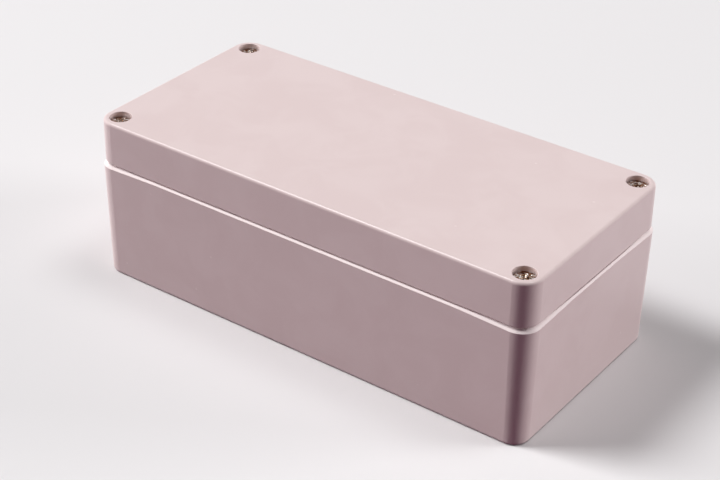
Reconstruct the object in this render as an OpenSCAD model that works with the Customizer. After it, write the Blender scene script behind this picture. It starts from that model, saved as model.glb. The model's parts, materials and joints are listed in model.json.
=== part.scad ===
// Moulded glass-fibre polyester enclosure with a sealed lid and captive lid screws.
// The origin is the middle of the underside: X runs along the box, Y across it and Z up.
// Sizes are in millimetres and angles in degrees.

/* [Box] */
// Length over the rim of the base
box_l = 160; // [130:1:240]
// Width over the rim of the base
box_w = 75; // [66:1:140]
// Height of the base from its underside to its rim
base_h = 40; // [30:1:90]
// Height of the lid from its lower edge to its top
lid_h = 14.6; // [14:0.1:24]
// Open seam between the rim and the lid's lower edge
seam = 0.4; // [0.2:0.05:0.8]
// How far the lid's lower edge stands in from the rim
lid_inset = 0.4; // [0.2:0.1:1]
// Thickness of the base's side walls at the rim
wall = 4.5; // [4.5:0.1:6]
// Thickness of the base's floor
floor_t = 4; // [3.5:0.1:6]
// Thickness of the lid's top
top_t = 4; // [3:0.1:5]

/* [Moulded form] */
// Radius of the base's upright corners at the rim
base_r = 6; // [5:0.1:8]
// Radius of the lid's upright corners at its lower edge
lid_r = 6.2; // [5:0.1:8]
// Draft of the base's walls, outside and inside
base_draft = 1; // [0.5:0.1:2]
// Draft of the lid's sides
lid_draft = 0.2; // [0.1:0.1:2]
// Radius along the edge of the underside
foot_edge_r = 1; // [0.4:0.1:2]
// Chamfer sanded along the rim of the base
rim_chamfer = 0.5; // [0.3:0.1:0.7]
// Chamfer sanded round the corners of the rim
corner_chamfer = 1.1; // [0.8:0.1:1.3]
// Length over which the corner's chamfer narrows to the rim's
chamfer_run = 18; // [8:1:20]
// Radius along the lower edge of the lid
lid_edge_r = 0.4; // [0.2:0.1:0.8]
// Radius along the top edge of the lid
top_edge_r = 1; // [0.5:0.1:1.5]
// Radius of the upright corners inside the base
inner_r = 4; // [3.8:0.1:6]
// Radius where the base's inner walls meet its floor
floor_edge_r = 2; // [1:0.1:2.5]

/* [Seal] */
// Thickness of the tongue round the base's opening
tongue_t = 1.5; // [1.2:0.1:2]
// Height of the tongue above the rim
tongue_h = 1.8; // [1.4:0.1:2.5]
// Gap between the tongue and each side of the lid's groove
groove_gap = 0.5; // [0.3:0.05:0.8]
// Thickness of the lip between the groove and the hollow of the lid
lip_t = 1.6; // [1:0.1:2]
// Thickness of the gasket under the tongue's pressure
gasket_t = 2.2; // [1.5:0.1:3]
// Gap between the gasket and each side of the groove
gasket_gap = 0.1; // [0.05:0.05:0.25]

/* [Lid screws] */
// Distance of the lid screws and wall-mounting holes from the rim
corner_inset = 6; // [5.8:0.1:8]
// Diameter of the screw's thread
screw_d = 4; // [3:0.1:4.2]
// Rise of the screw in one turn
pitch = 0.7; // [0.5:0.05:0.7]
// Turns that free the screw from its insert
free_turns = 8; // [6:1:8]
// Length of the screw's thread below its retaining ring
thread_l = 5.3; // [4:0.1:7]
// Diameter of the neck above the thread
neck_d = 3.2; // [2.4:0.1:3.4]
// Diameter of the screw's head
head_d = 6.8; // [6:0.1:7.2]
// Height of the screw's head
head_h = 2.8; // [2.4:0.1:3]
// Radius round the top of the screw's head
head_edge_r = 0.5; // [0.3:0.1:1.2]
// Depth of the head's seat below the lid's top
seat_depth = 4.1; // [3.6:0.1:5]
// Gap round the screw's head in its counterbore
head_gap = 0.15; // [0.1:0.05:0.4]
// Gap round the thread in the lid's hole
shank_gap = 0.25; // [0.15:0.05:0.5]
// Gap round the thread in its insert
thread_gap = 0.05; // [0.02:0.01:0.1]
// Chamfer round the mouth of the counterbore
mouth_chamfer = 0.1; // [0.1:0.05:0.5]
// Depth of the cross recess
cross_depth = 1.8; // [1.2:0.1:2.2]
// Width of each arm of the cross recess
cross_w = 0.9; // [0.6:0.1:1.2]
// Span of the cross recess at the top of the head
cross_span = 4; // [3:0.1:4.6]
// Span of the cross recess at its bottom
cross_tip = 1.6; // [1.2:0.1:2.4]

/* [Screw retainers] */
// Outer diameter of the retaining ring
ring_d = 7; // [6:0.1:7.2]
// Height of the retaining ring
ring_h = 1.2; // [0.8:0.1:1.5]
// Gap between the retaining ring and the screw's neck
ring_bore_gap = 0.1; // [0.05:0.01:0.1]
// Gap round the retaining ring in its pocket
ring_gap = 0.4; // [0.3:0.05:0.6]
// Height of the retaining ring above the lid's lower face
ring_lift = 0.3; // [0.2:0.05:0.5]
// Gap left above the retaining ring when the screw is free
stop_gap = 0.1; // [0.05:0.05:0.3]

/* [Threaded inserts] */
// Diameter of the inserts for the lid screws
corner_insert_d = 6; // [5.4:0.1:6.6]
// Length of the inserts for the lid screws
corner_insert_l = 10; // [8:0.5:14]
// Diameter of the inserts in the floor
floor_insert_d = 5.6; // [4.6:0.1:6]
// Length of the inserts in the floor
floor_insert_l = 6.5; // [5:0.5:7]
// Diameter of the threaded hole in the floor's inserts
floor_thread_d = 3.3; // [2.5:0.1:3.4]
// Thickness of the closed end of every insert
insert_end_t = 1; // [0.8:0.1:1.5]
// Chamfer at the mouth of every insert
insert_chamfer = 0.3; // [0.1:0.05:0.4]
// Gap between an insert and the moulding
insert_gap = 0.05; // [0.02:0.01:0.1]

/* [Wall mounting] */
// Distance of the wall-mounting hole from the lid screw of its corner
well_pitch = 9; // [8.6:0.1:14]
// Diameter of the wall-mounting holes
mount_hole_d = 4.8; // [4.2:0.1:5.5]
// Diameter of the wells for the wall-mounting screws' heads
well_d = 8; // [7:0.1:8.4]
// Thickness of the seat at the bottom of each well
well_seat_t = 5; // [3:0.1:8]
// Thickness of the wall between a well and the tongue
well_wall = 2; // [1.6:0.1:3]

/* [Floor bosses] */
// Spacing of the floor bosses along the box
boss_pitch_x = 100; // [60:1:106]
// Spacing of the floor bosses across the box
boss_pitch_y = 44; // [30:1:44]
// Diameter of the floor bosses at their top
boss_d = 9; // [8:0.1:10]
// Height of the floor bosses above the floor
boss_h = 6; // [5:0.5:12]
// Radius round the foot of each floor boss
boss_foot_r = 1.2; // [0.4:0.1:1.5]

/* [Hidden] */
$fn = 48;

// Overshoot of a cut past the face that it opens
cut = 1;

// The four corners as signs of X and Y, in the order of the node numbers
corners = [[-1, -1], [1, -1], [1, 1], [-1, 1]];
screw_at = [box_l / 2 - corner_inset, box_w / 2 - corner_inset];
well_at = [screw_at.x, screw_at.y - well_pitch];
boss_at = [boss_pitch_x / 2, boss_pitch_y / 2];

// Half sizes of the sealed space: a hall between the corner blocks and a bay between each pair of them
hall = [well_at.x - well_d / 2 - well_wall - tongue_t, box_w / 2 - wall];
bay = [box_l / 2 - wall, well_at.y - well_d / 2 - well_wall - tongue_t];

// Heights above the underside
lid_z = base_h + seam;
top_z = lid_z + lid_h;
tongue_z = base_h + tongue_h;
groove_z = tongue_z + gasket_t;
seat_z = top_z - seat_depth;
ring_z = lid_z + ring_lift;
ring_stop_z = ring_z + ring_h + free_turns * pitch + stop_gap;
boss_z = floor_t + boss_h;

// Length of a lid screw under its head
screw_l = seat_z - ring_z + thread_l;

grp = [0.80, 0.75, 0.75];
steel = [0.78, 0.76, 0.72];
brass = [0.78, 0.62, 0.30];
rubber = [0.16, 0.16, 0.17];
nylon = [0.90, 0.88, 0.82];

// Places the children, given for the +X +Y corner, mirrored in every corner
module in_quarters() {
    for (mx = [0, 1], my = [0, 1])
        mirror([mx, 0, 0]) mirror([0, my, 0]) children();
}

// Outer half of a disc, which rounds an edge of a section
module edge_round(centre, r) {
    translate(centre) intersection() {
        circle(r);
        translate([0, -r]) square([r, 2 * r]);
    }
}

// A rounded rectangle in plan that has the child's section all round and is filled in the middle.
// In a section, x runs outwards from the axis of the upright corners and y runs up.
module moulded_block(size, r, z_low, z_high) {
    x = size.x / 2 - r;
    y = size.y / 2 - r;
    translate([-x, -y, z_low]) cube([2 * x, 2 * y, z_high - z_low]);
    in_quarters() translate([x, y, 0]) rotate_extrude(angle = 90) children();
    for (m = [0, 1]) {
        mirror([0, m, 0]) translate([-x, y, 0]) rotate([90, 0, 90])
            linear_extrude(2 * x) children();
        mirror([m, 0, 0]) translate([x, y, 0]) rotate([90, 0, 0])
            linear_extrude(2 * y) children();
    }
}

module rounded_rectangle(half, r) {
    square(2 * [half.x - r, half.y], center = true);
    square(2 * [half.x, half.y - r], center = true);
    for (c = corners)
        translate([c.x * (half.x - r), c.y * (half.y - r)]) circle(r);
}

// Plan of the sealed space, grown outwards by g
module sealed_plan(g) {
    block_r = inner_r - g;
    rounded_rectangle(hall + [g, g], inner_r + g);
    rounded_rectangle(bay + [g, g], inner_r + g);
    for (c = corners)
        scale([c.x, c.y]) translate([hall.x + g, bay.y + g])
            difference() {
                square(block_r);
                translate([block_r, block_r]) circle(block_r);
            }
}

// Places the children in each corner, at a point given for the +X +Y corner
module in_corners(at) {
    for (c = corners)
        translate([c.x * at.x, c.y * at.y, 0]) children();
}

// Section of the base's side, which leans out from a radius at the foot to a chamfer at the rim
module base_section() {
    slope = tan(base_draft);
    r = foot_edge_r;
    centre = [base_r + (r - base_h) * slope - r / cos(base_draft), r];
    polygon([
        [0, 0],
        [centre.x, 0],
        centre + r * [cos(base_draft), -sin(base_draft)],
        [base_r - rim_chamfer * slope, base_h - rim_chamfer],
        [base_r - rim_chamfer, base_h],
        [0, base_h]
    ]);
    edge_round(centre, r);
}

// What is sanded off at the +X +Y corner of the rim: a cone round the corner and a flat along each side
// that rises until it leaves the rim's own chamfer
module sanded_corner() {
    c = corner_chamfer;
    rise = atan((c - rim_chamfer) / (sqrt(2) * chamfer_run));
    translate([box_l / 2 - base_r, box_w / 2 - base_r, base_h]) {
        rotate_extrude(angle = 90) polygon([
            [base_r - c - cut, cut],
            [base_r + cut, -c - cut],
            [base_r + cut, cut]
        ]);
        for (m = [0, 1])
            mirror([m, -m, 0]) translate([0, base_r - c / 2, -c / 2])
                rotate([-45, 0, 0]) rotate([0, rise, 0])
                    translate([-chamfer_run - cut, -c, 0]) cube([chamfer_run + cut, 2 * c, c]);
    }
}

// Section of the space inside the base, out to the wall at the given reach.
// The wall leans in towards the floor and stands upright through the tongue.
module core_section(reach) {
    slope = tan(base_draft);
    r = floor_edge_r;
    centre = [reach + (r + floor_t - base_h) * slope - r / cos(base_draft), floor_t + r];
    polygon([
        [0, floor_t],
        [centre.x, floor_t],
        centre + r * [cos(base_draft), -sin(base_draft)],
        [reach, base_h],
        [reach, tongue_z + cut],
        [0, tongue_z + cut]
    ]);
    edge_round(centre, r);
}

// The space inside the base
module base_core() {
    moulded_block(2 * hall, inner_r, floor_t, tongue_z + cut) core_section(inner_r);
    moulded_block(2 * bay, inner_r, floor_t, tongue_z + cut) core_section(inner_r);
    block_axis = [hall.x + inner_r, bay.y + inner_r];
    reach = inner_r + floor_edge_r;
    in_quarters() intersection() {
        translate([block_axis.x - reach, block_axis.y - reach, floor_t])
            cube([reach, reach, tongue_z + cut - floor_t]);
        translate([block_axis.x, block_axis.y, 0])
            rotate_extrude() translate([inner_r + reach, 0]) mirror([1, 0]) core_section(reach);
    }
}

module wall_mounting_well() {
    translate([0, 0, -cut]) cylinder(d = mount_hole_d, h = well_seat_t + 2 * cut);
    translate([0, 0, well_seat_t]) cylinder(d = well_d, h = base_h - well_seat_t + cut);
}

// A drafted boss with a radius round its foot
module floor_boss() {
    slope = tan(base_draft);
    r = boss_foot_r;
    centre = [boss_d / 2 + (boss_h - r) * slope + r / cos(base_draft), floor_t + r];
    rotate_extrude() difference() {
        polygon([
            [0, floor_t - cut],
            [centre.x, floor_t - cut],
            centre,
            centre - r * [cos(base_draft), sin(base_draft)],
            [boss_d / 2, boss_z],
            [0, boss_z]
        ]);
        translate(centre) circle(r);
    }
}

module insert_hole(d, l, z_top) {
    translate([0, 0, z_top - l]) cylinder(d = d + 2 * insert_gap, h = l + cut);
}

// A threaded sleeve with a closed end, its mouth at z_top
module insert(d, bore_d, l, z_top) {
    mouth_r = bore_d / 2 + insert_chamfer;
    translate([0, 0, z_top]) rotate_extrude() polygon([
        [0, -l],
        [d / 2, -l],
        [d / 2, 0],
        [mouth_r, 0],
        [bore_d / 2, -insert_chamfer],
        [bore_d / 2, insert_end_t - l],
        [0, insert_end_t - l]
    ]);
}

module base() {
    color(grp) difference() {
        union() {
            difference() {
                union() {
                    difference() {
                        moulded_block([box_l, box_w], base_r, 0, base_h) base_section();
                        in_quarters() sanded_corner();
                    }
                    translate([0, 0, base_h - cut]) linear_extrude(tongue_h + cut) sealed_plan(tongue_t);
                }
                base_core();
            }
            in_corners(boss_at) floor_boss();
        }
        in_corners(well_at) wall_mounting_well();
        in_corners(screw_at) insert_hole(corner_insert_d, corner_insert_l, lid_z);
        in_corners(boss_at) insert_hole(floor_insert_d, floor_insert_l, boss_z);
    }
}

module lid_screw_hole() {
    seat_r = head_d / 2 + head_gap;
    translate([0, 0, seat_z]) cylinder(r = seat_r, h = seat_depth + cut);
    translate([0, 0, top_z - mouth_chamfer])
        cylinder(r1 = seat_r, r2 = seat_r + mouth_chamfer + cut, h = mouth_chamfer + cut);
    translate([0, 0, lid_z - cut]) cylinder(d = screw_d + 2 * shank_gap, h = lid_h);
    translate([0, 0, lid_z - cut]) cylinder(d = ring_d + 2 * ring_gap, h = ring_stop_z - lid_z + cut);
}

// Section of the lid's side, which leans in from its lower edge to its top, with a radius at both
module lid_section() {
    slope = tan(lid_draft);
    outward = [cos(lid_draft), sin(lid_draft)];
    low = [lid_r - lid_edge_r * (slope + 1 / cos(lid_draft)), lid_z + lid_edge_r];
    high = [lid_r - (lid_h - top_edge_r) * slope - top_edge_r / cos(lid_draft), top_z - top_edge_r];
    polygon([
        [0, lid_z],
        [low.x, lid_z],
        low + lid_edge_r * outward,
        high + top_edge_r * outward,
        [high.x, top_z],
        [0, top_z]
    ]);
    edge_round(low, lid_edge_r);
    edge_round(high, top_edge_r);
}

module lid() {
    size = [box_l - 2 * lid_inset, box_w - 2 * lid_inset];
    color(grp) difference() {
        moulded_block(size, lid_r, lid_z, top_z) lid_section();
        translate([0, 0, lid_z - cut]) linear_extrude(lid_h - top_t + cut)
            sealed_plan(-groove_gap - lip_t);
        translate([0, 0, lid_z - cut]) linear_extrude(groove_z - lid_z + cut)
            seal_strip(groove_gap);
        in_corners(screw_at) lid_screw_hole();
    }
}

// Plan of a strip over the tongue that is wider than it by a margin on each side
module seal_strip(margin) {
    difference() {
        sealed_plan(tongue_t + margin);
        sealed_plan(-margin);
    }
}

module gasket() {
    color(rubber) translate([0, 0, tongue_z]) linear_extrude(gasket_t)
        seal_strip(groove_gap - gasket_gap);
}

module cross_recess() {
    for (a = [0, 90])
        rotate([0, 0, a]) rotate([90, 0, 0]) linear_extrude(cross_w, center = true) polygon([
            [-cross_tip / 2, -cross_depth],
            [cross_tip / 2, -cross_depth],
            [cross_span / 2, 0],
            [cross_span / 2, cut],
            [-cross_span / 2, cut],
            [-cross_span / 2, 0]
        ]);
}

module lid_screw(i) {
    tip_chamfer = (screw_d - neck_d) / 2;
    color(steel) translate([corners[i].x * screw_at.x, corners[i].y * screw_at.y, seat_z])
        difference() {
            rotate_extrude() {
                polygon([
                    [0, -screw_l],
                    [neck_d / 2, -screw_l],
                    [screw_d / 2, tip_chamfer - screw_l],
                    [screw_d / 2, thread_l - screw_l],
                    [neck_d / 2, thread_l - screw_l],
                    [neck_d / 2, 0],
                    [head_d / 2, 0],
                    [head_d / 2, head_h - head_edge_r],
                    [head_d / 2 - head_edge_r, head_h],
                    [0, head_h]
                ]);
                translate([head_d / 2 - head_edge_r, head_h - head_edge_r]) circle(head_edge_r);
            }
            translate([0, 0, head_h]) cross_recess();
        }
}

module screw_retainer(i) {
    color(nylon) translate([corners[i].x * screw_at.x, corners[i].y * screw_at.y, ring_z])
        difference() {
            cylinder(d = ring_d, h = ring_h);
            translate([0, 0, -cut]) cylinder(d = neck_d + 2 * ring_bore_gap, h = ring_h + 2 * cut);
        }
}

module corner_insert(i) {
    color(brass) translate([corners[i].x * screw_at.x, corners[i].y * screw_at.y, 0])
        insert(corner_insert_d, screw_d + 2 * thread_gap, corner_insert_l, lid_z);
}

module floor_insert(i) {
    color(brass) translate([corners[i].x * boss_at.x, corners[i].y * boss_at.y, 0])
        insert(floor_insert_d, floor_thread_d, floor_insert_l, boss_z);
}

base();
lid();
gasket();
for (i = [1 : 4]) {
    lid_screw(i - 1);
    screw_retainer(i - 1);
    corner_insert(i - 1);
    floor_insert(i - 1);
}
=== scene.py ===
"""Looks of a moulded polyester enclosure, laid out as an add-on and run as a script.

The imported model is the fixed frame. Its base and lid keep their solids and get a moulded finish, and the
screws, inserts, retaining rings and gasket are rebuilt in more detail where their nodes are.
"""

import json
import math

import bmesh
import bpy
from bpy.props import FloatProperty, FloatVectorProperty, PointerProperty
from mathutils import Euler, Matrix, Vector


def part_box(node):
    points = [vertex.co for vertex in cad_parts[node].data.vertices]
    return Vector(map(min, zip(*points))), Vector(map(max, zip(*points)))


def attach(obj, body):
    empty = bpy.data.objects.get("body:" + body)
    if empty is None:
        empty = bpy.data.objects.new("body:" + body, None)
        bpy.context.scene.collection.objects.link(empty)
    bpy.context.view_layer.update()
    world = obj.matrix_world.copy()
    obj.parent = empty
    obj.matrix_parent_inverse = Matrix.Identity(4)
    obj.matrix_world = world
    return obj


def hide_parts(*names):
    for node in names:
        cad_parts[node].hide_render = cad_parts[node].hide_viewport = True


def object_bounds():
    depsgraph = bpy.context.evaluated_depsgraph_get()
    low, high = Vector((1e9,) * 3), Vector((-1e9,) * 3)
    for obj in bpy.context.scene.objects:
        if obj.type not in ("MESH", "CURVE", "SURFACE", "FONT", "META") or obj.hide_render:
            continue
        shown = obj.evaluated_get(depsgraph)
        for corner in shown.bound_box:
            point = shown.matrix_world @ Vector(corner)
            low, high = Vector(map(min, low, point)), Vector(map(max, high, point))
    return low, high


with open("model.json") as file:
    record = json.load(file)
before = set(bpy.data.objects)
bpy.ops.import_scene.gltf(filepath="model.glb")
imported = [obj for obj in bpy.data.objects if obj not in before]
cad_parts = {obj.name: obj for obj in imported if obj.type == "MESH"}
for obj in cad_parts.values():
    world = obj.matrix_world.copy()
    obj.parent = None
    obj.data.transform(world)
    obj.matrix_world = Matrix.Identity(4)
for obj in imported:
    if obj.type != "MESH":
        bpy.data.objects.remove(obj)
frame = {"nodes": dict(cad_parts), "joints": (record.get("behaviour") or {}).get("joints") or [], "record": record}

bl_info = {
    "name": "Polyester Enclosure",
    "version": (1, 0, 0),
    "blender": (4, 5, 0),
    "location": "View3D > Sidebar > Enclosure",
    "description": "Finishes a moulded polyester enclosure and builds its screws, inserts and seal",
    "category": "Add Mesh",
}

CAD_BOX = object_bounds()
MM = 0.001
TURN = 2 * math.pi
PHOTO_WIDTH = 720
CORNERS = (1, 2, 3, 4)
JOINTS = {joint["name"]: joint for joint in frame["joints"]}
COUPLINGS = {row["joint"]: row for row in frame["record"]["behaviour"]["couplings"]}
SCREW_PITCH = TURN / COUPLINGS["lid_screw_1_turn"]["ratio"]


def linear_rgb(hex_code):
    """Linear red, green and blue of an sRGB colour such as DDCBCA."""
    shares = [int(hex_code[i:i + 2], 16) / 255 for i in (0, 2, 4)]
    return tuple(s / 12.92 if s <= 0.04045 else ((s + 0.055) / 1.055) ** 2.4 for s in shares)


def length(name, description, millimetres):
    """A property for a length, with its default in millimetres."""
    return FloatProperty(
        name=name, description=description, default=millimetres * MM, min=0.0,
        subtype="DISTANCE", unit="LENGTH", precision=5,
    )


def pattern(name, description, millimetres):
    """A property for the size of a pattern, which can't be nought. One over it, in metres, is the scale of the
    pattern's texture on Object coordinates."""
    return FloatProperty(
        name=name, description=description, default=millimetres * MM, min=0.01 * MM,
        subtype="DISTANCE", unit="LENGTH", precision=5,
    )


def colour(name, description, hex_code):
    """A property for a colour, with its default as an sRGB hex value."""
    return FloatVectorProperty(
        name=name, description=description, default=linear_rgb(hex_code), min=0.0, max=1.0,
        size=3, subtype="COLOR",
    )


def power(name, description, watts):
    """A property for the power of a lamp."""
    return FloatProperty(
        name=name, description=description, default=watts, min=0.0, subtype="POWER", unit="POWER",
    )


def direction(name, description, towards):
    """A property for a direction from the middle of the object."""
    return FloatVectorProperty(name=name, description=description, default=towards, size=3, subtype="XYZ")


class MouldingSettings(bpy.types.PropertyGroup):
    """Finish of the base and the lid."""

    resin: colour("Resin", "Colour of the pigmented polyester", "DAC7C6")
    cloud: colour("Cloud", "Colour of the paler clouds where the resin flowed in the mould", "DDCBCA")
    # Whiter than a sanded rim alone, so that this colour also paints the rim's highlight; the specks take it too
    sanded: colour("Sanded edge", "Colour of the rim where the moulding flash was sanded off", "FFF2F1")
    rim_height: length("Rim height", "Height of the rim of the base, where the lid meets it", 40)
    # The band that these shape is the sanded rim and also a painted highlight along it
    sanded_highlight_height: length("Sanded height", "Height of the sanded chamfer along the sides", 0.5)
    sanded_highlight_corner: length("Sanded corner", "Height of the sanded chamfer round the corners", 1.1)
    sanded_highlight_ragged: length("Sanded unevenness", "How far the sanded band runs on below the chamfer", 0.15)
    ragged_size: pattern("Unevenness size", "Length of one uneven stretch of the sanded band", 2.5)
    sanded_highlight_depth: length("Sanded depth", "Depth of the sanded band from the outside of the wall", 2.2)
    corner_start: length("Corner start", "Distance from the end of a side to the start of its corner", 6)
    corner_run: length("Corner run", "Length over which the corner's chamfer narrows to the side's", 18)
    cloud_size: pattern("Cloud size", "Width of one flow cloud", 17)
    peel_size: pattern("Peel size", "Spacing of the soft ripple on the moulded skin", 3.2)
    peel_depth: length("Peel depth", "Depth of the soft ripple on the moulded skin", 0.03)
    grain_size: pattern("Grain size", "Spacing of the fine texture taken from the mould", 0.45)
    grain_depth: length("Grain depth", "Depth of the fine texture taken from the mould", 0.012)
    speck_size: pattern("Speck spacing", "Mean distance between pale specks of filler", 11)


class ScrewSettings(bpy.types.PropertyGroup):
    """Shape and finish of the captive lid screws."""

    steel: colour("Steel", "Colour of the bright stainless steel", "E6E2DE")
    # Partly tarnish and partly painted dark reflection: its dark brown stands in for dark surroundings mirrored in
    # the heads
    tarnish: colour("Tarnish", "Colour of the brown patches of tarnish", "8F5F36")
    tarnish_size: pattern("Tarnish size", "Width of one patch of tarnish", 1.3)
    dent_size: pattern("Dent size", "Spacing of the dents left by cold heading and by the driver", 1.2)
    dent_depth: length("Dent depth", "Depth of the dents, as the finish shades them", 0.7)
    thread_d: length("Thread", "Outer diameter of the thread", 4)
    neck_d: length("Neck", "Diameter of the neck and of the root of the thread", 3.2)
    crown: length("Crown", "Rise of the head's top from its edge to its middle", 0.2)
    head_edge: length("Head edge", "Radius round the top of the head", 0.3)
    seat_edge: length("Seat edge", "Chamfer round the underside of the head", 0.1)
    recess_span: length("Recess span", "Span of the cross recess at the top of the head", 4)
    recess_land: length("Recess land", "Width of the smooth ring round the ends of the cross recess", 0.25)
    recess_width: length("Recess width", "Width of each arm of the cross recess at the top", 1.0)
    recess_depth: length("Recess depth", "Depth of the cross recess below the crown", 1.8)
    recess_tip: length("Recess tip", "Span of the cross recess at its bottom", 1.7)


class InsertSettings(bpy.types.PropertyGroup):
    """Shape and finish of the threaded inserts."""

    brass: colour("Brass", "Colour of turned brass", "C9A45C")
    tarnish: colour("Tarnish", "Colour of brass dulled by the hot mould", "A88145")
    tarnish_size: pattern("Tarnish size", "Width of one dulled patch", 1.6)
    mark_size: pattern("Mark size", "Spacing of the tool marks", 0.12)
    mark_depth: length("Mark depth", "Depth of the tool marks", 0.008)
    edge: length("Edge", "Chamfer round the ends and the collar", 0.2)
    collar: length("Collar", "Height of the plain collar at the top", 1)
    groove: length("Groove", "Width of the groove between the knurled bands", 0.5)
    knurl_depth: length("Knurl depth", "Depth of the diamond knurl", 0.15)
    thread_depth: length("Thread depth", "Depth of the thread cut outwards from the bore", 0.3)
    mouth: length("Mouth", "Depth of the chamfer at the mouth of the bore", 0.3)
    mouth_flare: length("Mouth flare", "How far that chamfer reaches beyond the thread", 0.1)
    corner_bore: length("Corner bore", "Diameter of the bore in the inserts for the lid screws", 4.1)
    floor_bore: length("Floor bore", "Diameter of the bore in the inserts in the floor", 3.3)
    end_wall: length("End wall", "Thickness of the closed end", 1)


class SealSettings(bpy.types.PropertyGroup):
    """Shape and finish of the gasket and the screw retainers."""

    rubber: colour("Rubber", "Colour of the closed-cell sealing rubber", "2B2B2D")
    bloom: colour("Bloom", "Colour of the greyish bloom on the rubber", "3A393B")
    bloom_size: pattern("Bloom size", "Width of one patch of bloom", 5)
    cell_size: pattern("Cell size", "Width of one cell of the rubber", 0.35)
    cell_depth: length("Cell depth", "Depth of the pits in the rubber", 0.05)
    nylon: colour("Nylon", "Colour of natural nylon", "E9E3D2")
    haze: colour("Haze", "Colour of the milky patches in the nylon", "DDD5C0")
    haze_size: pattern("Haze size", "Width of one milky patch", 1.5)
    glow_depth: length("Glow depth", "How far light goes through the nylon", 0.5)
    gasket_edge: length("Gasket edge", "Radius along the edges of the gasket", 0.35)
    ring_edge: length("Ring edge", "Chamfer round the retaining rings", 0.2)
    ring_bore: length("Ring bore", "Diameter of the bore of the retaining rings", 3.4)


class StageSettings(bpy.types.PropertyGroup):
    """Floor, lamps and camera."""

    floor: colour("Floor", "Colour of the floor as the camera and reflections see it", "E4E2E3")
    floor_radius: length("Floor radius", "Radius of the round floor", 8000)
    room: FloatProperty(
        name="Room", description="Strength of the room as the camera and reflections see it",
        default=0.9, min=0.0,
    )
    bounce: colour("Bounce", "Colour of the floor and the room as they light the object", "703D58")
    fill: FloatProperty(
        name="Fill", description="Strength of the room as it lights the object", default=0.05, min=0.0,
    )
    left_power: power("Left power", "Power of the left soft box", 129)
    right_power: power("Right power", "Power of the right soft box", 124)
    top_power: power("Top power", "Power of the soft box overhead", 42)
    key_power: power("Key power", "Power of the key lamp at the upper left", 120)
    left_from: direction("Left from", "Direction of the left soft box", (-0.926, -0.329, 0.15))
    right_from: direction("Right from", "Direction of the right soft box", (0.769, 0.612, 0.15))
    top_from: direction("Top from", "Direction of the soft box overhead", (0.25, 0.2, 0.95))
    key_from: direction("Key from", "Direction of the key lamp", (-0.498, -0.25, 0.83))
    lamp_distance: length("Lamp distance", "Distance of the lamps from the object", 4000)
    lamp_size: length("Lamp size", "Side of each square soft box", 1400)
    key_size: length("Key size", "Side of the square key lamp", 1200)
    camera_place: FloatVectorProperty(
        name="Camera place", description="Where the camera stands", default=(0.27231, -0.38136, 0.30963),
        size=3, subtype="TRANSLATION", unit="LENGTH",
    )
    camera_turn: FloatVectorProperty(
        name="Camera turn", description="How the camera is turned",
        default=[math.radians(a) for a in (58.175, -0.835, 36.257)], size=3, subtype="EULER",
    )
    focal_pixels: FloatProperty(
        name="Focal length", description="Focal length in pixels of the photograph", default=1756.5, min=1.0,
    )
    middle_offset: FloatVectorProperty(
        name="Middle offset", description="Lens axis from the middle of the photograph, in pixels",
        default=(4.5, 9.4), size=2, subtype="XYZ",
    )


class EnclosureSettings(bpy.types.PropertyGroup):
    """All the settings of the enclosure."""

    moulding: PointerProperty(type=MouldingSettings)
    screw: PointerProperty(type=ScrewSettings)
    insert: PointerProperty(type=InsertSettings)
    seal: PointerProperty(type=SealSettings)
    stage: PointerProperty(type=StageSettings)


def add_node(tree, kind, inputs=None, **settings):
    """Adds a shader node. Inputs are socket values or the sockets that link to them."""
    node = tree.nodes.new("ShaderNode" + kind)
    for name, value in settings.items():
        setattr(node, name, value)
    for key, value in (inputs or {}).items():
        if isinstance(value, bpy.types.NodeSocket):
            tree.links.new(value, node.inputs[key])
        else:
            node.inputs[key].default_value = value
    return node


def new_material(name):
    """An empty material, its node tree and the surface input of its output."""
    material = bpy.data.materials.new(name)
    material.use_nodes = True
    material.node_tree.nodes.clear()
    output = add_node(material.node_tree, "OutputMaterial")
    return material, material.node_tree, output.inputs["Surface"]


def opaque(rgb):
    """A colour with full alpha."""
    return (*rgb, 1.0)


# The two colours of a Mix node in colour mode are its inputs 6 and 7, and its result is output 2
MIX_A, MIX_B, MIX_RESULT = 6, 7, 2
# Shares of the spacing of the specks at which a speck is full and has faded out, and the share of its colour
SPECK_CORE, SPECK_EDGE, SPECK_SHARE = 0.025, 0.045, 0.25
# The base's sanded band, which also paints the rim's highlight, reaches up to this height above its rim,
# below the foot of the lid
RIM_MARGIN = 0.1 * MM


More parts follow.
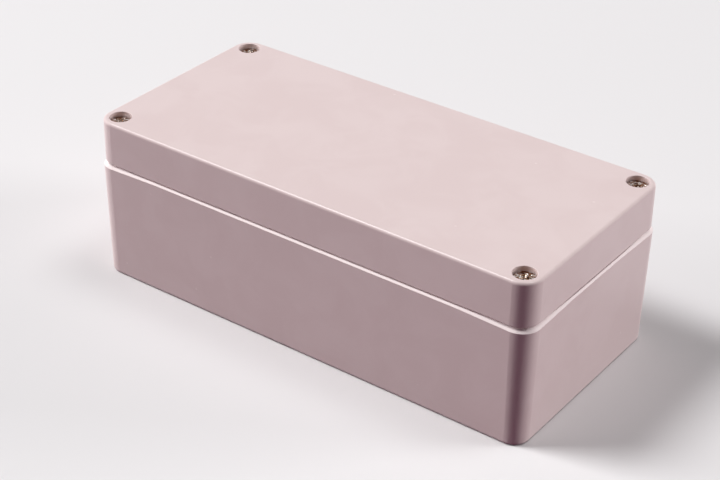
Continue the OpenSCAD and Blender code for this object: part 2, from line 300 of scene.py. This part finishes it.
def moulded_polyester(settings):
    """Compression-moulded glass-fibre polyester: an opaque satin skin that copies the mould, faintly clouded
    where the paste flowed, with a few pale specks of filler, and matt and whitish where flash was sanded. The
    white of the sanded rim is stronger than sanding leaves it, so that it also paints the rim's highlight."""
    material, tree, surface = new_material("moulded_polyester")
    place = add_node(tree, "TexCoord").outputs["Object"]

    clouds = add_node(tree, "TexNoise", {
        "Vector": place, "Scale": 1 / settings.cloud_size, "Detail": 4.0, "Roughness": 0.55, "Distortion": 0.6,
    })
    cloud_share = add_node(tree, "MapRange", {
        "Value": clouds.outputs["Fac"], "From Min": 0.38, "From Max": 0.66,
    }, interpolation_type="SMOOTHSTEP")
    clouded = add_node(tree, "Mix", {
        0: cloud_share.outputs["Result"], MIX_A: opaque(settings.resin), MIX_B: opaque(settings.cloud),
    }, data_type="RGBA")

    # Filler grains lie at random in the resin and show where they reach the skin; they take the pale colour of
    # the sanded rim
    grains = add_node(tree, "TexVoronoi", {"Vector": place, "Scale": 1 / settings.speck_size})
    speck_share = add_node(tree, "MapRange", {
        "Value": grains.outputs["Distance"],
        "From Min": SPECK_EDGE, "From Max": SPECK_CORE, "To Max": SPECK_SHARE,
    })
    specked = add_node(tree, "Mix", {
        0: speck_share.outputs["Result"], MIX_A: clouded.outputs[MIX_RESULT], MIX_B: opaque(settings.sanded),
    }, data_type="RGBA")

    # The sanded band, which is also a painted highlight along the rim, follows the chamfer of the rim, which
    # widens to the corners, and ends unevenly below it
    along = add_node(tree, "SeparateXYZ", {"Vector": place}).outputs
    half_length, half_width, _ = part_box("base")[1]
    to_edges = []
    for axis, half in (("X", half_length), ("Y", half_width)):
        size = add_node(tree, "Math", {0: along[axis]}, operation="ABSOLUTE")
        to_edges.append(add_node(tree, "Math", {0: half, 1: size.outputs[0]}, operation="SUBTRACT").outputs[0])
    nearer = add_node(tree, "Math", dict(enumerate(to_edges)), operation="MINIMUM")
    farther = add_node(tree, "Math", dict(enumerate(to_edges)), operation="MAXIMUM")
    chamfer = add_node(tree, "MapRange", {
        "Value": farther.outputs[0],
        "From Min": settings.corner_start + settings.corner_run, "From Max": settings.corner_start,
        "To Min": settings.sanded_highlight_height, "To Max": settings.sanded_highlight_corner,
    })
    ragged = add_node(tree, "TexNoise", {"Vector": place, "Scale": 1 / settings.ragged_size, "Detail": 2.0})
    uneven = add_node(tree, "Math", {
        0: ragged.outputs["Fac"], 1: settings.sanded_highlight_ragged, 2: chamfer.outputs["Result"],
    }, operation="MULTIPLY_ADD")
    below_rim = add_node(tree, "Math", {0: settings.rim_height, 1: along["Z"]}, operation="SUBTRACT")
    sanded_highlight_share = add_node(tree, "Math", {
        0: below_rim.outputs[0], 1: uneven.outputs[0],
    }, operation="LESS_THAN")
    under_lid = add_node(tree, "Math", {0: below_rim.outputs[0], 1: -RIM_MARGIN}, operation="GREATER_THAN")
    on_outside = add_node(tree, "Math", {0: nearer.outputs[0], 1: settings.sanded_highlight_depth}, operation="LESS_THAN")
    for limit in (under_lid, on_outside):
        sanded_highlight_share = add_node(tree, "Math", {
            0: sanded_highlight_share.outputs[0], 1: limit.outputs[0],
        }, operation="MULTIPLY")
    # Sanded white on the rim, which also paints its highlight
    skin = add_node(tree, "Mix", {
        0: sanded_highlight_share.outputs[0], MIX_A: specked.outputs[MIX_RESULT], MIX_B: opaque(settings.sanded),
    }, data_type="RGBA")

    # Satin skin, a little duller in the clouds and matt where it was sanded
    satin = add_node(tree, "MapRange", {"Value": clouds.outputs["Fac"], "To Min": 0.29, "To Max": 0.41})
    dullness = add_node(tree, "Mix", {0: sanded_highlight_share.outputs[0], 2: satin.outputs["Result"], 3: 0.75})

    peel = add_node(tree, "TexNoise", {"Vector": place, "Scale": 1 / settings.peel_size, "Detail": 1.0})
    ripple = add_node(tree, "Bump", {
        "Height": peel.outputs["Fac"], "Strength": 0.5, "Distance": settings.peel_depth,
    })
    grain = add_node(tree, "TexNoise", {"Vector": place, "Scale": 1 / settings.grain_size, "Detail": 2.0})
    texture = add_node(tree, "Bump", {
        "Height": grain.outputs["Fac"], "Strength": 0.5, "Distance": settings.grain_depth,
        "Normal": ripple.outputs["Normal"],
    })
    shader = add_node(tree, "BsdfPrincipled", {
        "Base Color": skin.outputs[MIX_RESULT], "Roughness": dullness.outputs[0], "IOR": 1.54,
        "Normal": texture.outputs["Normal"],
    })
    tree.links.new(shader.outputs[0], surface)
    return material


def bright_stainless(settings):
    """Cold-headed stainless steel: bright and dented, with brown patches that are partly tarnish and partly
    painted dark reflection.
    """
    material, tree, surface = new_material("bright_stainless")
    place = add_node(tree, "TexCoord").outputs["Object"]
    patches = add_node(tree, "TexNoise", {"Vector": place, "Scale": 1 / settings.tarnish_size, "Detail": 2.0})
    # Brown patches, partly tarnish and partly painted dark reflection
    tarnish_and_dark_reflection_share = add_node(tree, "MapRange", {
        "Value": patches.outputs["Fac"], "From Min": 0.42, "From Max": 0.6,
    }, interpolation_type="SMOOTHSTEP")
    tone = add_node(tree, "Mix", {
        0: tarnish_and_dark_reflection_share.outputs["Result"], MIX_A: opaque(settings.steel), MIX_B: opaque(settings.tarnish),
    }, data_type="RGBA")
    marks = add_node(tree, "TexNoise", {"Vector": place, "Scale": 1 / settings.dent_size, "Detail": 2.0})
    dullness = add_node(tree, "MapRange", {"Value": marks.outputs["Fac"], "To Min": 0.05, "To Max": 0.18})
    dents = add_node(tree, "Bump", {
        "Height": marks.outputs["Fac"], "Strength": 1.0, "Distance": settings.dent_depth,
    })
    shader = add_node(tree, "BsdfPrincipled", {
        "Base Color": tone.outputs[MIX_RESULT], "Metallic": 1.0, "Roughness": dullness.outputs["Result"],
        "Normal": dents.outputs["Normal"],
    })
    tree.links.new(shader.outputs[0], surface)
    return material


# Scale of the tool marks on brass across the Z axis as a share of that along it
MARK_STRETCH = 0.02


def turned_brass(settings):
    """Turned brass: yellow metal with fine tool marks round it, a little dulled by the hot mould."""
    material, tree, surface = new_material("turned_brass")
    place = add_node(tree, "TexCoord").outputs["Object"]
    patches = add_node(tree, "TexNoise", {"Vector": place, "Scale": 1 / settings.tarnish_size, "Detail": 3.0})
    tone = add_node(tree, "Mix", {
        0: patches.outputs["Fac"], MIX_A: opaque(settings.brass), MIX_B: opaque(settings.tarnish),
    }, data_type="RGBA")
    # Tool marks lie level, one above the other, because the inserts are turned on the Z axis
    level = add_node(tree, "Mapping", {"Vector": place, "Scale": (MARK_STRETCH, MARK_STRETCH, 1.0)})
    marks = add_node(tree, "TexNoise", {
        "Vector": level.outputs["Vector"], "Scale": 1 / settings.mark_size, "Detail": 1.0,
    })
    dents = add_node(tree, "Bump", {
        "Height": marks.outputs["Fac"], "Strength": 0.4, "Distance": settings.mark_depth,
    })
    dullness = add_node(tree, "MapRange", {"Value": patches.outputs["Fac"], "To Min": 0.22, "To Max": 0.42})
    shader = add_node(tree, "BsdfPrincipled", {
        "Base Color": tone.outputs[MIX_RESULT], "Metallic": 1.0, "Roughness": dullness.outputs["Result"],
        "Normal": dents.outputs["Normal"],
    })
    tree.links.new(shader.outputs[0], surface)
    return material


def sponge_rubber(settings):
    """Closed-cell chloroprene sponge: dull black with a fine pitted skin."""
    material, tree, surface = new_material("sponge_rubber")
    place = add_node(tree, "TexCoord").outputs["Object"]
    cells = add_node(tree, "TexVoronoi", {"Vector": place, "Scale": 1 / settings.cell_size})
    bloom = add_node(tree, "TexNoise", {"Vector": place, "Scale": 1 / settings.bloom_size, "Detail": 3.0})
    tone = add_node(tree, "Mix", {
        0: bloom.outputs["Fac"], MIX_A: opaque(settings.rubber), MIX_B: opaque(settings.bloom),
    }, data_type="RGBA")
    pits = add_node(tree, "Bump", {
        "Height": cells.outputs["Distance"], "Strength": 0.6, "Distance": settings.cell_depth,
    })
    shader = add_node(tree, "BsdfPrincipled", {
        "Base Color": tone.outputs[MIX_RESULT], "Roughness": 0.85, "IOR": 1.52,
        "Normal": pits.outputs["Normal"],
    })
    tree.links.new(shader.outputs[0], surface)
    return material


def natural_nylon(settings):
    """Moulded natural nylon: milky and slightly translucent, with a satin skin."""
    material, tree, surface = new_material("natural_nylon")
    place = add_node(tree, "TexCoord").outputs["Object"]
    haze = add_node(tree, "TexNoise", {"Vector": place, "Scale": 1 / settings.haze_size, "Detail": 2.0})
    tone = add_node(tree, "Mix", {
        0: haze.outputs["Fac"], MIX_A: opaque(settings.nylon), MIX_B: opaque(settings.haze),
    }, data_type="RGBA")
    satin = add_node(tree, "MapRange", {"Value": haze.outputs["Fac"], "To Min": 0.35, "To Max": 0.5})
    shader = add_node(tree, "BsdfPrincipled", {
        "Base Color": tone.outputs[MIX_RESULT], "Roughness": satin.outputs["Result"], "IOR": 1.53,
        "Subsurface Weight": 0.3, "Subsurface Scale": settings.glow_depth,
    })
    tree.links.new(shader.outputs[0], surface)
    return material


def spin_profile(bm, points, steps, closed=False):
    """Spins a half section of (radius, height) points once round the Z axis."""
    verts = [bm.verts.new((radius, 0, height)) for radius, height in points]
    pairs = list(zip(verts, verts[1:]))
    if closed:
        pairs.append((verts[-1], verts[0]))
    edges = [bm.edges.new(pair) for pair in pairs]
    bmesh.ops.spin(
        bm, geom=verts + edges, cent=(0, 0, 0), axis=(0, 0, 1), dvec=(0, 0, 0), angle=TURN, steps=steps,
        use_merge=True, use_duplicate=False,
    )


# Faces round one turn of a thread
THREAD_STEPS = 28
# Shares of the pitch that one flank and the crest of a thread take
FLANK, CREST = 0.375, 0.125
# Turns of a thread below its lower end, and in all beyond its length, before both ends are cut level
LEAD_TURNS, SPARE_TURNS = 1.5, 2
# Two points closer than this are one point
SAME = 1e-6


def cut_thread(bm, root, crest, pitch, low, high):
    """A helical thread surface between two heights, open at both ends, in an empty bmesh."""
    turns = math.ceil((high - low) / pitch) + SPARE_TURNS
    flank, flat = FLANK * pitch, CREST * pitch
    section = ((root, 0), (crest, flank), (crest, flank + flat), (root, 2 * flank + flat), (root, pitch))
    start = low - LEAD_TURNS * pitch
    verts = [bm.verts.new((radius, 0, start + height)) for radius, height in section]
    edges = [bm.edges.new(pair) for pair in zip(verts, verts[1:])]
    steps = turns * THREAD_STEPS
    bmesh.ops.spin(
        bm, geom=verts + edges, cent=(0, 0, 0), axis=(0, 0, 1), dvec=(0, 0, pitch / THREAD_STEPS),
        angle=turns * TURN, steps=steps, use_merge=False, use_duplicate=False,
    )
    bmesh.ops.remove_doubles(bm, verts=bm.verts, dist=SAME)
    for height, outwards in ((low, -1), (high, 1)):
        geometry = bm.verts[:] + bm.edges[:] + bm.faces[:]
        bmesh.ops.bisect_plane(
            bm, geom=geometry, dist=SAME, plane_co=(0, 0, height), plane_no=(0, 0, outwards),
            clear_outer=True,
        )


def rim_at(bm, height):
    """The open edges at a height."""
    return [e for e in bm.edges if e.is_boundary and all(abs(v.co.z - height) < SAME for v in e.verts)]


def extend_rim(bm, edges):
    """Extrudes open edges and returns the new edges and their vertices."""
    made = bmesh.ops.extrude_edge_only(bm, edges=edges)["geom"]
    new_edges = [g for g in made if isinstance(g, bmesh.types.BMEdge) and g.is_boundary]
    new_verts = [g for g in made if isinstance(g, bmesh.types.BMVert)]
    return new_edges, new_verts


def cross_reach(angle, half_span, half_width):
    """Distance from the middle of a cross to its outline at an angle."""
    folded = angle % (math.pi / 2)
    folded = min(folded, math.pi / 2 - folded)
    to_side = half_width / max(math.sin(folded), SAME)
    return min(half_span / math.cos(folded), to_side)


def finish_piece(name, bm, material, sharp_angle=35):
    """Turns a bmesh into a smooth-shaded object at the origin, with its edges sharp above an angle."""
    bmesh.ops.recalc_face_normals(bm, faces=bm.faces)
    limit = math.radians(sharp_angle)
    for face in bm.faces:
        face.smooth = True
    for edge in bm.edges:
        edge.smooth = len(edge.link_faces) == 2 and edge.calc_face_angle() < limit
    mesh = bpy.data.meshes.new(name)
    bm.to_mesh(mesh)
    bm.free()
    mesh.materials.append(material)
    piece = bpy.data.objects.new(name, mesh)
    bpy.context.scene.collection.objects.link(piece)
    return piece


# Faces round a screw's head, so that a face edge meets each corner of the cross recess
HEAD_STEPS = 64
# Faces across the radius round the top of a screw's head
EDGE_STEPS = 6
# Width of a screw's tip as a share of its thread, and of a recess's arms at the bottom as a share of the top
TIP_SHARE, ARM_SHARE = 0.8, 0.7


def lid_screw_mesh(settings, low, high, seat):
    """A cheese-head screw with a crowned top, a cross recess, a bare neck and a thread, on the Z axis."""
    bm = bmesh.new()
    head_r = (high.x - low.x) / 2
    head_h = high.z - seat.z
    tip_z = low.z - seat.z
    neck_r = settings.neck_d / 2
    thread_r = settings.thread_d / 2
    chamfer = thread_r - neck_r
    ring_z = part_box("screw_retainer_1")[0].z - seat.z
    cut_thread(bm, neck_r, thread_r, SCREW_PITCH, tip_z + chamfer, ring_z)

    tip_edges, tip_verts = extend_rim(bm, rim_at(bm, tip_z + chamfer))
    bmesh.ops.scale(bm, vec=(TIP_SHARE, TIP_SHARE, 1), verts=tip_verts)
    bmesh.ops.translate(bm, vec=(0, 0, -chamfer), verts=tip_verts)
    bmesh.ops.edgeloop_fill(bm, edges=tip_edges)

    edge_r, crown = settings.head_edge, settings.crown
    shoulder_z = head_h - crown
    mouth_r = settings.recess_span / 2 + settings.recess_land
    seat_edge = settings.seat_edge
    profile = [(neck_r, ring_z), (neck_r, 0), (head_r - seat_edge, 0), (head_r, seat_edge)]
    for i in range(EDGE_STEPS + 1):
        a = i / EDGE_STEPS * math.pi / 2
        profile.append((head_r - edge_r + edge_r * math.cos(a), shoulder_z - edge_r + edge_r * math.sin(a)))
    crown_r = head_r - edge_r

    def crown_z(radius):
        return head_h - crown * (radius / crown_r) ** 2

    profile.append((mouth_r, crown_z(mouth_r)))
    spin_profile(bm, profile, HEAD_STEPS)
    bmesh.ops.remove_doubles(bm, verts=bm.verts, dist=SAME)
    bmesh.ops.bridge_loops(bm, edges=rim_at(bm, ring_z))

    def shape_cross(verts, half_span, half_width, height):
        for v in verts:
            reach = cross_reach(math.atan2(v.co.y, v.co.x), half_span, half_width)
            v.co.xy = v.co.xy.normalized() * reach
            v.co.z = height if height is not None else crown_z(reach)

    edges, verts = extend_rim(bm, rim_at(bm, crown_z(mouth_r)))
    shape_cross(verts, settings.recess_span / 2, settings.recess_width / 2, None)
    edges, verts = extend_rim(bm, edges)
    half_width = settings.recess_width / 2 * ARM_SHARE
    shape_cross(verts, settings.recess_tip / 2, half_width, head_h - settings.recess_depth)
    floor = bmesh.ops.edgeloop_fill(bm, edges=edges)["faces"]
    bmesh.ops.poke(bm, faces=floor, offset=0)
    bmesh.ops.translate(bm, vec=seat, verts=bm.verts)
    return bm


# Faces round an insert, and rings of points in one knurled band
INSERT_STEPS, KNURL_RINGS = 48, 5
# Width of the blunt end of a drilled hole as a share of its bore
DRILL_SHARE = 0.02


def insert_mesh(settings, bore_d, low, high):
    """A brass insert with a threaded bore, a closed end and two knurled bands, where a node's box is."""
    bm = bmesh.new()
    outer_r = (high.x - low.x) / 2
    bore_r = bore_d / 2
    mouth_z = high.z - settings.mouth
    drill_depth = bore_r / 2
    drill_z = low.z + settings.end_wall + drill_depth
    cut_thread(bm, bore_r + settings.thread_depth, bore_r, SCREW_PITCH, drill_z, mouth_z)
    edges, verts = extend_rim(bm, rim_at(bm, drill_z))
    bmesh.ops.scale(bm, vec=(DRILL_SHARE, DRILL_SHARE, 1), verts=verts)
    bmesh.ops.translate(bm, vec=(0, 0, -drill_depth), verts=verts)
    bmesh.ops.edgeloop_fill(bm, edges=edges)

    edge, groove = settings.edge, settings.groove
    collar_z = high.z - settings.collar
    middle_z = (collar_z + low.z + edge) / 2
    bands = ((low.z + edge, middle_z - groove / 2), (middle_z + groove / 2, collar_z))
    profile = [(0, low.z), (outer_r - edge, low.z)]
    knurled = set()
    for start, stop in bands:
        profile.append((outer_r - groove / 2, start))
        for i in range(KNURL_RINGS):
            height = start + (stop - start) * (i + 0.5) / KNURL_RINGS
            knurled.add(round(height / SAME))
            profile.append((outer_r, height))
        profile.append((outer_r - groove / 2, stop))
    profile += [(outer_r, collar_z + edge), (outer_r, high.z - edge), (outer_r - edge, high.z)]
    profile.append((bore_r + settings.thread_depth + settings.mouth_flare, high.z))
    spin_profile(bm, profile, INSERT_STEPS)
    bmesh.ops.remove_doubles(bm, verts=bm.verts, dist=SAME)
    bmesh.ops.bridge_loops(bm, edges=rim_at(bm, mouth_z) + rim_at(bm, high.z))

    # Every second point of the knurled bands is pressed in, which leaves diamonds
    order = {height: i for i, height in enumerate(sorted(knurled))}
    for v in bm.verts:
        ring = order.get(round(v.co.z / SAME))
        step = round(math.atan2(v.co.y, v.co.x) / TURN * INSERT_STEPS)
        if ring is not None and v.co.xy.length > outer_r - edge and (ring + step) % 2:
            v.co.xy *= 1 - settings.knurl_depth / outer_r
    middle = (low + high) / 2
    bmesh.ops.translate(bm, vec=(middle.x, middle.y, 0), verts=bm.verts)
    return bm


class ENCLOSURE_OT_mouldings(bpy.types.Operator):
    """Give the base and the lid their moulded polyester finish"""

    bl_idname = "enclosure.mouldings"
    bl_label = "Finish Mouldings"

    def execute(self, context):
        material = moulded_polyester(context.scene.enclosure.moulding)
        for name in ("base", "lid"):
            node = frame["nodes"][name]
            node.data.materials.clear()
            node.data.materials.append(material)
        return {"FINISHED"}


class ENCLOSURE_OT_lid_screws(bpy.types.Operator):
    """Build the four captive lid screws with their heads, recesses and threads"""

    bl_idname = "enclosure.lid_screws"
    bl_label = "Build Lid Screws"

    def execute(self, context):
        settings = context.scene.enclosure.screw
        material = bright_stainless(settings)
        for number in CORNERS:
            node = f"lid_screw_{number}"
            low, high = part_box(node)
            seat = Vector(JOINTS[node + "_turn"]["pos_m"])
            bm = lid_screw_mesh(settings, low, high, seat)
            piece = finish_piece(f"cheese_head_screw_{number}", bm, material)
            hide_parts(node)
            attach(piece, f"screw_{number}")
        return {"FINISHED"}


class ENCLOSURE_OT_retainers(bpy.types.Operator):
    """Build the four retaining rings that keep the screws in the lid"""

    bl_idname = "enclosure.retainers"
    bl_label = "Build Screw Retainers"

    def execute(self, context):
        settings = context.scene.enclosure.seal
        material = natural_nylon(settings)
        for number in CORNERS:
            node = f"screw_retainer_{number}"
            low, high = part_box(node)
            outer_r, bore_r, edge = (high.x - low.x) / 2, settings.ring_bore / 2, settings.ring_edge
            bm = bmesh.new()
            spin_profile(bm, [
                (bore_r, low.z + edge), (bore_r + edge, low.z), (outer_r - edge, low.z),
                (outer_r, low.z + edge), (outer_r, high.z - edge), (outer_r - edge, high.z),
                (bore_r + edge, high.z), (bore_r, high.z - edge),
            ], HEAD_STEPS, closed=True)
            middle = (low + high) / 2
            bmesh.ops.translate(bm, vec=(middle.x, middle.y, 0), verts=bm.verts)
            piece = finish_piece(f"retaining_ring_{number}", bm, material)
            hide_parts(node)
            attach(piece, f"retainer_{number}")
        return {"FINISHED"}


class ENCLOSURE_OT_inserts(bpy.types.Operator):
    """Build the knurled and threaded inserts of the corners and the floor"""

    bl_idname = "enclosure.inserts"
    bl_label = "Build Inserts"

    def execute(self, context):
        settings = context.scene.enclosure.insert
        material = turned_brass(settings)
        for place, bore_d in (("corner", settings.corner_bore), ("floor", settings.floor_bore)):
            for number in CORNERS:
                node = f"{place}_insert_{number}"
                bm = insert_mesh(settings, bore_d, *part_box(node))
                piece = finish_piece(f"knurled_{node}", bm, material)
                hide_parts(node)
                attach(piece, "base")
        return {"FINISHED"}


# Faces that meet at less than the first angle are joined, and edges sharper than the second are rounded
JOINED_FACES, ROUNDED_EDGES = math.radians(1), math.radians(60)
GASKET_SEGMENTS = 3


class ENCLOSURE_OT_gasket(bpy.types.Operator):
    """Build the rounded sealing strip in the lid's groove"""

    bl_idname = "enclosure.gasket"
    bl_label = "Build Gasket"

    def execute(self, context):
        settings = context.scene.enclosure.seal
        bm = bmesh.new()
        bm.from_mesh(frame["nodes"]["gasket"].data)
        bmesh.ops.remove_doubles(bm, verts=bm.verts, dist=SAME)
        bmesh.ops.dissolve_limit(bm, angle_limit=JOINED_FACES, verts=bm.verts, edges=bm.edges)
        corners = [e for e in bm.edges if len(e.link_faces) == 2 and e.calc_face_angle() > ROUNDED_EDGES]
        bmesh.ops.bevel(
            bm, geom=corners, offset=settings.gasket_edge, offset_type="OFFSET", affect="EDGES",
            segments=GASKET_SEGMENTS, profile=0.5, material=-1,
        )
        piece = finish_piece("sealing_strip", bm, sponge_rubber(settings))
        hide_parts("gasket")
        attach(piece, "lid")
        return {"FINISHED"}


# Sides of the round floor
FLOOR_STEPS = 64
# Width of the camera's sensor in millimetres, and the nearest distance that it shows in metres
SENSOR_WIDTH, NEAR_LIMIT = 36.0, 0.01


def seen_directly(tree):
    """One for rays from the camera and for mirrored or transmitted ones, and nought for bounced light."""
    ray = add_node(tree, "LightPath")
    seen = ray.outputs["Is Camera Ray"]
    for name in ("Is Glossy Ray", "Is Transmission Ray"):
        seen = add_node(tree, "Math", {0: seen, 1: ray.outputs[name]}, operation="MAXIMUM").outputs[0]
    return seen


class ENCLOSURE_OT_stage(bpy.types.Operator):
    """Set up the floor, the soft boxes, the room's light and the camera"""

    bl_idname = "enclosure.stage"
    bl_label = "Set Up Stage"

    def execute(self, context):
        settings = context.scene.enclosure.stage
        self.make_floor(settings)
        self.make_room(context.scene, settings)
        middle = (CAD_BOX[0] + CAD_BOX[1]) / 2
        for side in ("left", "right", "top", "key"):
            lamp = bpy.data.lights.new(f"{side}_lamp", "AREA")
            lamp.shape = "SQUARE"
            lamp.size = settings.key_size if side == "key" else settings.lamp_size
            lamp.energy = getattr(settings, f"{side}_power")
            towards = Vector(getattr(settings, f"{side}_from")).normalized()
            place = middle + towards * settings.lamp_distance
            turn = (middle - place).to_track_quat("-Z", "Y").to_euler()
            thing = self.link(lamp, place, turn)
            # The boxes at the sides light the object but aren't mirrored in it, so low views show no glare
            thing.visible_glossy = side in ("top", "key")
        self.make_camera(context.scene, settings)
        context.scene.view_settings.view_transform = "Standard"
        return {"FINISHED"}

    def link(self, data, place, turn):
        """Adds a lamp or camera to the scene."""
        thing = bpy.data.objects.new(data.name, data)
        thing.location = place
        thing.rotation_euler = turn
        bpy.context.scene.collection.objects.link(thing)
        return thing

    def make_floor(self, settings):
        """A wide pale floor that lights the object less than it shows."""
        material, tree, surface = new_material("pale_floor")
        pale = add_node(tree, "BsdfDiffuse", {"Color": opaque(settings.floor)})
        dim = add_node(tree, "BsdfDiffuse", {"Color": opaque(settings.bounce)})
        mixed = add_node(tree, "MixShader", {
            0: seen_directly(tree), 1: dim.outputs[0], 2: pale.outputs[0],
        })
        tree.links.new(mixed.outputs[0], surface)
        bm = bmesh.new()
        bmesh.ops.create_circle(bm, cap_ends=True, radius=settings.floor_radius, segments=FLOOR_STEPS)
        finish_piece("floor", bm, material)

    def make_room(self, scene, settings):
        """A pale room that gives the object only a weak fill."""
        world = bpy.data.worlds.new("room")
        world.use_nodes = True
        tree = world.node_tree
        tree.nodes.clear()
        pale = add_node(tree, "Background", {"Color": opaque(settings.floor), "Strength": settings.room})
        dim = add_node(tree, "Background", {"Color": opaque(settings.bounce), "Strength": settings.fill})
        mixed = add_node(tree, "MixShader", {
            0: seen_directly(tree), 1: dim.outputs[0], 2: pale.outputs[0],
        })
        add_node(tree, "OutputWorld", {"Surface": mixed.outputs[0]})
        scene.world = world

    def make_camera(self, scene, settings):
        """A camera at the photograph's viewing angle."""
        lens = bpy.data.cameras.new("camera")
        lens.sensor_width = SENSOR_WIDTH
        lens.lens = settings.focal_pixels / PHOTO_WIDTH * lens.sensor_width
        lens.shift_x = -settings.middle_offset[0] / PHOTO_WIDTH
        lens.shift_y = settings.middle_offset[1] / PHOTO_WIDTH
        lens.clip_start = NEAR_LIMIT
        scene.camera = self.link(lens, settings.camera_place, Euler(settings.camera_turn))


class ENCLOSURE_PT_panel(bpy.types.Panel):
    """Lists the steps and settings of the enclosure"""

    bl_idname = "ENCLOSURE_PT_panel"
    bl_label = "Polyester Enclosure"
    bl_space_type = "VIEW_3D"
    bl_region_type = "UI"
    bl_category = "Enclosure"

    def draw(self, context):
        for step in STEPS:
            self.layout.operator(step.bl_idname)
        settings = context.scene.enclosure
        for group in ("moulding", "screw", "insert", "seal", "stage"):
            box = self.layout.box()
            box.label(text=group.capitalize())
            part = getattr(settings, group)
            for name in part.__annotations__:
                box.prop(part, name)


STEPS = (
    ENCLOSURE_OT_mouldings,
    ENCLOSURE_OT_lid_screws,
    ENCLOSURE_OT_retainers,
    ENCLOSURE_OT_inserts,
    ENCLOSURE_OT_gasket,
    ENCLOSURE_OT_stage,
)
GROUPS = (MouldingSettings, ScrewSettings, InsertSettings, SealSettings, StageSettings, EnclosureSettings)
CLASSES = GROUPS + STEPS + (ENCLOSURE_PT_panel,)


def register():
    for cls in CLASSES:
        bpy.utils.register_class(cls)
    bpy.types.Scene.enclosure = PointerProperty(type=EnclosureSettings)


def unregister():
    del bpy.types.Scene.enclosure
    for cls in reversed(CLASSES):
        bpy.utils.unregister_class(cls)


def main():
    """Builds the looks in order."""
    register()
    bpy.ops.enclosure.mouldings()
    bpy.ops.enclosure.lid_screws()
    bpy.ops.enclosure.retainers()
    bpy.ops.enclosure.inserts()
    bpy.ops.enclosure.gasket()
    bpy.ops.enclosure.stage()


if __name__ == "__main__":
    main()
